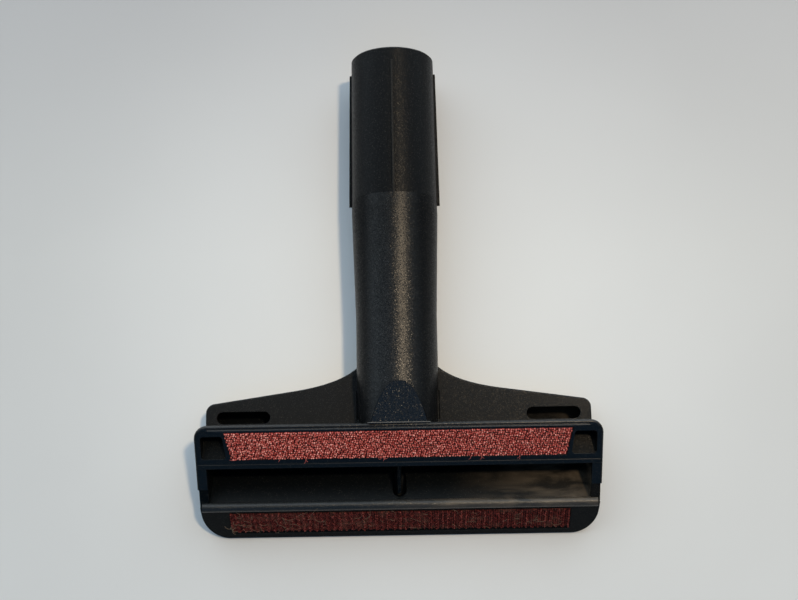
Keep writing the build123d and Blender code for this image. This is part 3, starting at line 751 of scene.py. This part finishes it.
# The two lint strips, red velour on a woven backing, glued into shallow recesses of the lands. The
# pile stands in short tufts, in a brick pattern on the left and in upright ribs towards the right.
# A few red fibres hang from the upper strip, and pale lint lies on the lower one.
STRIP_TOP = 0.0010
STRIP_SIDE = 0.0009
TUFT_PITCH = 0.00112
TUFT_ROW = 0.00102
TUFT_RADIUS = 0.00066
TUFT_HEIGHT = 0.0011
TUFT_SIZES = (0.74, 1.0)
TUFT_HEIGHTS = (0.62, 0.98)
TUFT_WANDER = 0.26
TUFT_WANDER_LOSS = 0.12
ROW_WANDER = 0.24
FIRST_TUFT = 0.25
STAGGER = 0.5
STAGGER_LOSS = 0.75
RIB_TUFTS = 2
RIB_GAP_SIZE = 0.10
RIB_GAP_HEIGHT = 0.12
WEAVE_PITCH = 0.0029
WEAVE_WANDER = 90
SCALLOP = 0.0004
SCALLOP_REACH = WEAVE_PITCH / 3
FRAY = 0.0003
FRAY_SCALE = 1100
FRAY_SEED_STEP = 0.01
FRAYED_SIDE = 0.998
FRAYED_EDGE = 0.97
EDGE_HEIGHT = 0.8
PILE_GRID = 0.00021
UPPER_LAND_TOP = Vector((0, HEAD_Y, RIM_Z))
UPPER_STRIP_DOWN = 0.0039
UPPER_STRIP_DEEP = 0.01334
UPPER_STRIP_HALVES = (0.08125, 0.07825)
UPPER_LAND = (UPPER_LAND_TOP, SOLE_SLOPE, UPPER_STRIP_DOWN)
LOWER_LAND_TOP = Vector((0, HEAD_Y - 0.04067, -0.004177))
LOWER_LAND_FOOT = Vector((0, HEAD_Y - 0.05477, TABLE_HEIGHT + 0.0013))
LOWER_LAND_FALL = LOWER_LAND_FOOT - LOWER_LAND_TOP
LOWER_LAND_SLOPE = math.atan2(-LOWER_LAND_FALL.z, -LOWER_LAND_FALL.y)
LOWER_STRIP_DOWN = 0.0017
LOWER_STRIP_ABOVE_FOOT = 0.0053
LOWER_STRIP_DEEP = LOWER_LAND_FALL.length - LOWER_STRIP_DOWN - LOWER_STRIP_ABOVE_FOOT
LOWER_STRIP_HALVES = (0.08125, 0.08175)
LOWER_LAND = (LOWER_LAND_TOP, LOWER_LAND_SLOPE, LOWER_STRIP_DOWN)


def tufts_on(halves, deep, seed):
    """The tufts of a strip in a table by place, each as (along, down, radius, height)."""
    chance = random.Random(seed)
    table_of_tufts = {}
    rows = int(deep / TUFT_ROW)
    for row in range(rows + 1):
        down = (row + 0.5) * deep / (rows + 1)
        half = halves[0] + (halves[1] - halves[0]) * down / deep
        columns = int(2 * half / TUFT_PITCH)
        for column in range(columns + 1):
            share = column / columns
            stagger = STAGGER * (row % 2) * (1 - STAGGER_LOSS * share)
            along = -half + (column + FIRST_TUFT + stagger) * 2 * half / (columns + 1)
            size = TUFT_RADIUS * chance.uniform(*TUFT_SIZES)
            tall = TUFT_HEIGHT * chance.uniform(*TUFT_HEIGHTS)
            in_gap = column % RIB_TUFTS == 0
            if in_gap:
                size *= 1 - RIB_GAP_SIZE * share
                tall *= 1 - RIB_GAP_HEIGHT * share
            wander = TUFT_WANDER - TUFT_WANDER_LOSS * share
            x = along + chance.uniform(-wander, wander) * TUFT_PITCH
            y = down + chance.uniform(-ROW_WANDER, ROW_WANDER) * TUFT_ROW
            key = (int(x // TUFT_RADIUS), int(y // TUFT_RADIUS))
            table_of_tufts.setdefault(key, []).append((x, y, size, tall))
    return table_of_tufts


def pile_height(table_of_tufts, along, down):
    """The pile's height at a place, from the highest of the tufts that reach it."""
    column = int(along // TUFT_RADIUS)
    row = int(down // TUFT_RADIUS)
    best = 0.0
    for near_column in (column - 1, column, column + 1):
        for near_row in (row - 1, row, row + 1):
            for x, y, size, tall in table_of_tufts.get((near_column, near_row), ()):
                away = ((along - x) ** 2 + (down - y) ** 2) / (size * size)
                if away < 1:
                    best = max(best, tall * math.sqrt(1 - away))
    return best


def land_axes(slope):
    """The way a land falls, and the way out of it."""
    falling = Vector((0, -math.cos(slope), -math.sin(slope)))
    outward = Vector((0, -math.sin(slope), math.cos(slope)))
    return falling, outward


def velour_strip(name, land, halves, deep, seed, weave):
    """A velour strip on a land, given by its top, its slope and the way down to the strip."""
    start, slope, down_to_strip = land
    falling, outward = land_axes(slope)
    across = int(2 * halves[0] / PILE_GRID)
    rows = int(deep / PILE_GRID)
    bpy.ops.object.select_all(action="DESELECT")
    bpy.ops.mesh.primitive_grid_add(x_subdivisions=across, y_subdivisions=rows, size=2)
    strip = bpy.context.object
    strip.name = name
    table_of_tufts = tufts_on(halves, deep, seed)
    pile = strip.data.attributes.new("pile", "FLOAT", "POINT")
    for vertex in strip.data.vertices:
        share = (1 - vertex.co.y) / 2
        down = share * deep
        half = halves[0] + (halves[1] - halves[0]) * share
        along = vertex.co.x * half
        tall = pile_height(table_of_tufts, along, down)
        wander = noise.noise(Vector((along, down, 0)) * WEAVE_WANDER)
        wave = math.cos(2 * math.pi * along / WEAVE_PITCH + wander)
        tall *= 1 - weave * (0.5 - 0.5 * wave)
        scallop = 0.0
        if weave > 0 and deep - down < SCALLOP_REACH:
            scallop = SCALLOP * wave
        fray = 0.0
        if abs(vertex.co.x) > FRAYED_SIDE or abs(vertex.co.y) > FRAYED_EDGE:
            fray = FRAY * noise.noise(Vector((along, down, seed * FRAY_SEED_STEP)) * FRAY_SCALE)
            tall *= EDGE_HEIGHT
        pile.data[vertex.index].value = tall / TUFT_HEIGHT
        fallen = falling * (down_to_strip + down + fray + scallop)
        place = start + fallen + outward * (STRIP_TOP - TUFT_HEIGHT + tall)
        vertex.co = place + Vector((along + fray, 0, 0))
    bpy.ops.object.mode_set(mode="EDIT")
    bpy.ops.mesh.select_mode(type="EDGE")
    bpy.ops.mesh.select_all(action="DESELECT")
    bpy.ops.mesh.select_non_manifold(extend=False, use_wire=False, use_boundary=True,
                                     use_multi_face=False, use_non_contiguous=False,
                                     use_verts=False)
    bpy.ops.mesh.extrude_region_move(TRANSFORM_OT_translate={"value": outward * -STRIP_SIDE})
    bpy.ops.mesh.edge_face_add()
    bpy.ops.mesh.select_all(action="SELECT")
    bpy.ops.mesh.normals_make_consistent(inside=False)
    bpy.ops.object.mode_set(mode="OBJECT")
    bpy.ops.object.shade_smooth()
    return strip


THREAD_SCALE = 1900.0
THREAD_DETAIL = 2.0
THREAD_GAIN = 1.1
THREAD_SHIFT = -0.55
THREAD_STRENGTH = 0.7
THREAD_DEEP = 0.00015
ROOT_UP_TO = 0.20
MIDDLE_AT = 0.66
GRIME_SCALE = 240.0
GRIME_DETAIL = 4.0
GRIME_FROM = 0.5
GRIME_TO = 0.75
CLOTH_ROUGHNESS = 0.5


def velour(name, painted_root_shade, mid_color, painted_tip_highlight, dirt_color, dirt_share, shine):
    """Velour: painted shade at the roots of the pile, bright tufts with painted glints at their
    tips, and greyish lint.
    """
    cloth = bpy.data.materials.new(name)
    cloth.use_nodes = True
    nodes = cloth.node_tree.nodes
    links = cloth.node_tree.links
    paint = nodes["Principled BSDF"]
    where = nodes.new("ShaderNodeTexCoord")
    pile = nodes.new("ShaderNodeAttribute")
    pile.attribute_name = "pile"
    tufted = nodes.new("ShaderNodeTexNoise")
    tufted.inputs["Scale"].default_value = THREAD_SCALE
    tufted.inputs["Detail"].default_value = THREAD_DETAIL
    links.new(where.outputs["Object"], tufted.inputs["Vector"])
    uneven = nodes.new("ShaderNodeMath")
    uneven.operation = "MULTIPLY_ADD"
    uneven.inputs[1].default_value = THREAD_GAIN
    uneven.inputs[2].default_value = THREAD_SHIFT
    links.new(tufted.outputs["Fac"], uneven.inputs[0])
    height = nodes.new("ShaderNodeMath")
    height.operation = "ADD"
    links.new(pile.outputs["Fac"], height.inputs[0])
    links.new(uneven.outputs["Value"], height.inputs[1])
    # Painted shade at the roots and painted glints at the tips, by the pile's height.
    tone = nodes.new("ShaderNodeValToRGB")
    tone.color_ramp.elements[0].position = ROOT_UP_TO
    tone.color_ramp.elements[0].color = (*painted_root_shade, 1)
    tone.color_ramp.elements[1].position = 1.0
    tone.color_ramp.elements[1].color = (*painted_tip_highlight, 1)
    middle = tone.color_ramp.elements.new(MIDDLE_AT)
    middle.color = (*mid_color, 1)
    links.new(height.outputs["Value"], tone.inputs["Fac"])
    grime = nodes.new("ShaderNodeTexNoise")
    grime.inputs["Scale"].default_value = GRIME_SCALE
    grime.inputs["Detail"].default_value = GRIME_DETAIL
    links.new(where.outputs["Object"], grime.inputs["Vector"])
    grimy = nodes.new("ShaderNodeMapRange")
    grimy.inputs["From Min"].default_value = GRIME_FROM
    grimy.inputs["From Max"].default_value = GRIME_TO
    grimy.inputs["To Max"].default_value = dirt_share
    links.new(grime.outputs["Fac"], grimy.inputs["Value"])
    mix = nodes.new("ShaderNodeMix")
    mix.data_type = "RGBA"
    mix.inputs["B"].default_value = (*dirt_color, 1)
    links.new(grimy.outputs["Result"], mix.inputs["Factor"])
    links.new(tone.outputs["Color"], mix.inputs["A"])
    links.new(mix.outputs["Result"], paint.inputs["Base Color"])
    paint.inputs["Roughness"].default_value = CLOTH_ROUGHNESS
    paint.inputs["Specular IOR Level"].default_value = shine
    threads = nodes.new("ShaderNodeBump")
    threads.inputs["Strength"].default_value = THREAD_STRENGTH
    threads.inputs["Distance"].default_value = THREAD_DEEP
    links.new(tufted.outputs["Fac"], threads.inputs["Height"])
    links.new(threads.outputs["Normal"], paint.inputs["Normal"])
    return cloth


FIBRE_STEPS = 4
FIBRE_SMOOTH = 4
FIBRE_PATCHES = 700.0
FIBRE_SHADE = 0.4
FIBRE_ROUGHNESS = 0.7
CURL_SPREAD = (0.5, 1.5)
chance = random.Random(5)


def fibre(strip, points, thick):
    """A loose fibre through some points, joined to a strip in the strip's second material."""
    bpy.ops.object.select_all(action="DESELECT")
    bpy.ops.curve.primitive_nurbs_path_add()
    thread = bpy.context.object
    for knot, place in zip(thread.data.splines[0].points, points):
        knot.co = (*place, 1)
    thread.data.resolution_u = FIBRE_SMOOTH
    thread.data.bevel_depth = thick
    thread.data.bevel_resolution = 0
    thread.data.use_fill_caps = True
    bpy.ops.object.convert(target="MESH")
    thread = bpy.context.object
    thread.data.materials.append(strip.data.materials[1])
    strip.select_set(True)
    bpy.context.view_layer.objects.active = strip
    bpy.ops.object.join()


def lint(strip, land, along, down, length, lean, curl, lift, thick):
    """A fibre that starts at a place on a strip and wanders off at an angle along its face."""
    start, slope, down_to_strip = land
    falling, outward = land_axes(slope)
    points = []
    heading = lean
    x, y = along, down
    for step in range(FIBRE_STEPS + 1):
        height = STRIP_TOP + lift * math.sin(math.pi * step / FIBRE_STEPS)
        points.append(start + falling * (down_to_strip + y) + outward * height + Vector((x, 0, 0)))
        x += length / FIBRE_STEPS * math.cos(heading)
        y += length / FIBRE_STEPS * math.sin(heading)
        heading += curl * chance.uniform(*CURL_SPREAD)
    fibre(strip, points, thick)


def lint_color(name, color):
    """The plain colour of loose fibres, a little uneven along them."""
    fluff = bpy.data.materials.new(name)
    fluff.use_nodes = True
    nodes = fluff.node_tree.nodes
    links = fluff.node_tree.links
    paint = nodes["Principled BSDF"]
    where = nodes.new("ShaderNodeTexCoord")
    patch = nodes.new("ShaderNodeTexNoise")
    patch.inputs["Scale"].default_value = FIBRE_PATCHES
    links.new(where.outputs["Object"], patch.inputs["Vector"])
    tone = nodes.new("ShaderNodeMix")
    tone.data_type = "RGBA"
    tone.inputs["A"].default_value = (*[FIBRE_SHADE * part for part in color], 1)
    tone.inputs["B"].default_value = (*color, 1)
    links.new(patch.outputs["Fac"], tone.inputs["Factor"])
    links.new(tone.outputs["Result"], paint.inputs["Base Color"])
    paint.inputs["Roughness"].default_value = FIBRE_ROUGHNESS
    return fluff


# The upper strip, bright red. A few of its own fibres hang loose from its foot.
UPPER_SEED = 11
UPPER_WEAVE = 0.0
BRIGHT_RED = {
    "painted_root_shade": (0.05, 0.003, 0.003),
    "mid_color": (0.52, 0.066, 0.050),
    "painted_tip_highlight": (1.0, 0.50, 0.42),
    "dirt_color": (0.20, 0.11, 0.09),
    "dirt_share": 0.22,
    "shine": 0.35,
}
RED_FIBRE = (0.75, 0.16, 0.13)
FIBRE_LIFT = 0.0003
FIBRE_THICK = 0.00010
FIBRE_ABOVE_FOOT = 0.0004
FIBRE_ROOT = UPPER_STRIP_DEEP - FIBRE_ABOVE_FOOT
# Each fibre: its place along the foot, its length, the angle it leaves at, and its curl.
UPPER_FIBRES = (
    (-0.0080, 0.0020, 1.9, 0.5), (-0.0072, 0.0024, 1.1, -0.6), (-0.0066, 0.0018, 1.5, 0.3),
    (-0.0436, 0.0026, 1.2, 0.5), (-0.0430, 0.0018, 1.9, -0.4), (-0.0556, 0.0015, 1.6, 0.4),
    (0.0336, 0.0022, 1.3, 0.4), (0.0383, 0.0024, 0.9, 0.6), (0.0388, 0.0018, 1.7, -0.5),
    (0.0563, 0.0022, 1.2, 0.5), (0.0566, 0.0020, 1.9, 0.3), (-0.0760, 0.0030, 2.9, 0.2),
)

upper_velour = velour_strip("upper_velour", UPPER_LAND, UPPER_STRIP_HALVES, UPPER_STRIP_DEEP,
                            UPPER_SEED, UPPER_WEAVE)
upper_velour.data.materials.append(velour("bright_red_pile", **BRIGHT_RED))
upper_velour.data.materials.append(lint_color("red_fibre", RED_FIBRE))
for along, length, lean, curl in UPPER_FIBRES:
    lint(upper_velour, UPPER_LAND, along, FIBRE_ROOT, length, lean, curl, FIBRE_LIFT, FIBRE_THICK)
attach(upper_velour, "root")
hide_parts("upper_lint_strip")

# The lower strip, the same red velour painted darker as shade on its steep land, and dirty, with
# its weave showing and a scalloped foot. Pale curls of lint cling to its left corner, and fine
# hairs lie on it, more of them towards the left.
LOWER_SEED = 23
LOWER_WEAVE = 0.35
# Painted shade: the upper strip's velour painted darker for the shade on the steep lower land; the
# dirt is real.
SHADED_RED = {
    "painted_root_shade": (0.026, 0.0050, 0.0045),
    "mid_color": (0.160, 0.027, 0.023),
    "painted_tip_highlight": (0.46, 0.120, 0.098),
    "dirt_color": (0.19, 0.100, 0.070),
    "dirt_share": 0.45,
    "shine": 0.08,
}
PALE_LINT = (0.36, 0.25, 0.16)
CURL_LIFT = 0.0005
CURL_THICK = 0.00009
# Each curl of lint: its place along and down, its length, the angle it leaves at, and its curl.
CURLS = (
    (-0.0812, 0.0088, 0.0060, 1.8, 0.8),
    (-0.0805, 0.0110, 0.0050, 2.6, -0.9),
    (-0.0795, 0.0095, 0.0060, 2.2, 1.0),
    (-0.0790, 0.0125, 0.0045, 2.9, 0.7),
    (-0.0800, 0.0050, 0.0050, 2.0, -0.7),
)
HAIRS = 60
HAIR_THICK = 0.000055
HAIR_LENGTHS = (0.0025, 0.008)
HAIR_SHORTER = 0.4
HAIR_LEAN = 1.3
HAIR_CURL = 0.8
HAIRS_FROM_X = -0.078
HAIRS_REACH = 0.155
HAIRS_FROM_DOWN = 0.001
HAIRS_ABOVE_FOOT = 0.002
TO_THE_LEFT = 1.7

lower_velour = velour_strip("lower_velour", LOWER_LAND, LOWER_STRIP_HALVES, LOWER_STRIP_DEEP,
                            LOWER_SEED, LOWER_WEAVE)
lower_velour.data.materials.append(velour("shaded_dark_red_pile", **SHADED_RED))
lower_velour.data.materials.append(lint_color("pale_lint", PALE_LINT))
for along, down, length, lean, curl in CURLS:
    lint(lower_velour, LOWER_LAND, along, down, length, lean, curl, CURL_LIFT, CURL_THICK)
for number in range(HAIRS):
    share = chance.random() ** TO_THE_LEFT
    along = HAIRS_FROM_X + HAIRS_REACH * share
    down = chance.uniform(HAIRS_FROM_DOWN, LOWER_STRIP_DEEP - HAIRS_ABOVE_FOOT)
    length = chance.uniform(*HAIR_LENGTHS) * (1 - HAIR_SHORTER * share)
    lean = chance.uniform(-HAIR_LEAN, HAIR_LEAN)
    curl = chance.uniform(-HAIR_CURL, HAIR_CURL)
    lint(lower_velour, LOWER_LAND, along, down, length, lean, curl, FIBRE_LIFT, HAIR_THICK)
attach(lower_velour, "root")
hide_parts("lower_lint_strip")
